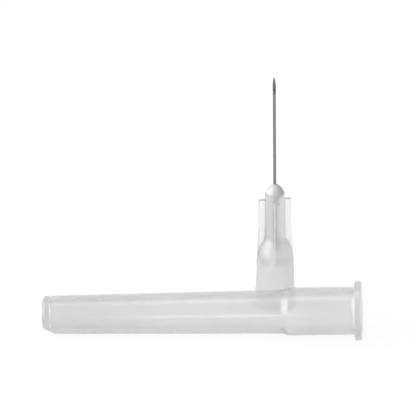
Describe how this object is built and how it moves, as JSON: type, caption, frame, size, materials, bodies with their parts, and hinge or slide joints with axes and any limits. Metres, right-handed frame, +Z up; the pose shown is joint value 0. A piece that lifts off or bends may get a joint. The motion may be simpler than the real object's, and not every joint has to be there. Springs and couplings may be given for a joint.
{
  "type": "hypodermic needle",
  "caption": "Steel cannula with a lancet point, glued in a finned clear luer hub that stands on its mouth, with its milky tapered sheath taken off and lying in front.",
  "frame": {"origin": "on the table, under the middle of the footprint of the standing needle and its lying sheath", "axes": "+Z up along the needle, +X along the lying sheath towards its mouth, -Y towards the side that the sheath lies on"},
  "size_m": [0.0536, 0.0222, 0.0413],
  "materials": {
    "cannula_steel": "drawn and polished stainless steel tube with a ground point",
    "adhesive": "cured clear epoxy, very glossy",
    "hub_plastic": "clear natural polypropylene, see-through and glossy",
    "sheath_plastic": "milky natural polypropylene, half see-through, satin gloss"
  },
  "bodies": {
    "root": {"cannula": "cannula_steel", "adhesive_bead": "adhesive", "hub": "hub_plastic", "sheath": "sheath_plastic"}
  },
  "joints": []
}
